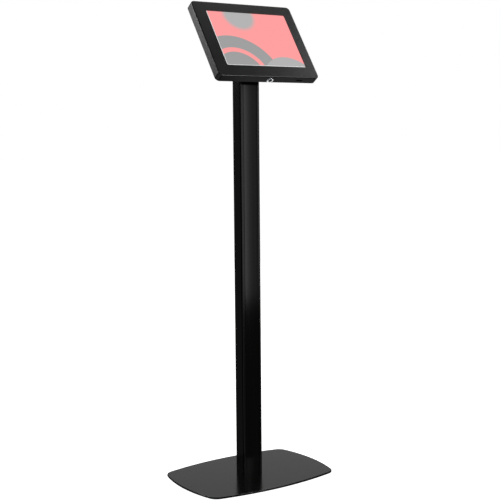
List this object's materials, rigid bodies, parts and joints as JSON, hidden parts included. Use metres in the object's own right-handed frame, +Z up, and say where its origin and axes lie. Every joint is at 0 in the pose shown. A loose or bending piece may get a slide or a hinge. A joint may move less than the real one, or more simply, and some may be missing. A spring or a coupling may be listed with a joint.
{
  "type": "tablet security kiosk stand",
  "caption": "Floor stand with a bowed foot plate, slim column and a tilting, turning locked housing that holds a tablet behind a framed window.",
  "frame": {"origin": "floor level under the middle of the foot plate", "axes": "+Z up; the user stands on the -Y side; +X to the user's right"},
  "size_m": [0.3692, 0.2562, 1.0991],
  "materials": {
    "powder_coated_steel": "fine-texture satin black powder coat",
    "anodised_aluminium": "satin black anodised extrusion",
    "panel_plastic": "satin black co-extruded ABS",
    "rubber_black": "matt",
    "zinc_steel": "bright zinc plate",
    "black_screws": "black oxide",
    "chrome_lock": "polished chrome plate",
    "nylon": "natural nylon",
    "foam_black": "closed-cell EVA foam",
    "tablet_aluminium": "bead-blasted anodised",
    "tablet_screen": "gloss cover glass"
  },
  "bodies": {
    "stand": {"base_plate": "powder_coated_steel", "base_feet": "rubber_black", "base_screws": "black_screws", "column_extrusion": "anodised_aluminium", "front_panel": "panel_plastic", "cable_grommet": "rubber_black", "tilt_bracket": "powder_coated_steel", "bracket_screws": "black_screws", "pivot_sleeve": "zinc_steel"},
    "tilt_arm": {"tilt_plate": "powder_coated_steel", "pivot_bolt": "black_screws", "pivot_nut": "black_screws", "pivot_washers": "nylon"},
    "head": {"vesa_plate": "powder_coated_steel", "swivel_disc": "nylon", "swivel_bolt": "black_screws", "swivel_washers": "zinc_steel", "swivel_nut": "black_screws", "stop_pin": "zinc_steel", "vesa_screws": "black_screws", "press_nuts": "zinc_steel", "rear_tray": "powder_coated_steel", "lock_keeper": "zinc_steel", "rivets": "zinc_steel", "hinge_fixed_leaf": "powder_coated_steel", "tablet_body": "tablet_aluminium", "tablet_glass": "tablet_screen", "tablet_pads": "foam_black", "edge_spacers": "foam_black"},
    "frame": {"front_frame": "powder_coated_steel", "window_liner": "foam_black", "hinge_moving_leaf": "powder_coated_steel", "hinge_pin": "zinc_steel", "lock_barrel": "chrome_lock", "lock_clip": "zinc_steel"},
    "lock": {"lock_plug": "chrome_lock", "lock_cam": "zinc_steel", "cam_screw": "zinc_steel"}
  },
  "joints": [
    {"name": "head_tilt", "type": "hinge", "parent": "stand", "child": "tilt_arm", "pos_m": [0, 0.002, 0.9857], "axis": [1, 0, 0], "range_deg": [-55.37, 34.63]},
    {"name": "head_rotate", "type": "hinge", "parent": "tilt_arm", "child": "head", "pos_m": [0, -0.02408, 1.00371], "axis": [0, -0.8228, 0.5683], "range_deg": [-90, 90]},
    {"name": "frame_open", "type": "hinge", "parent": "head", "child": "frame", "pos_m": [0, 0.03454, 1.08367], "axis": [-1, 0, 0], "range_deg": [0, 100]},
    {"name": "lock_turn", "type": "hinge", "parent": "frame", "child": "lock", "pos_m": [0.0026, -0.08992, 0.92352], "axis": [0, -0.5683, -0.8228], "range_deg": [0, 90]}
  ]
}
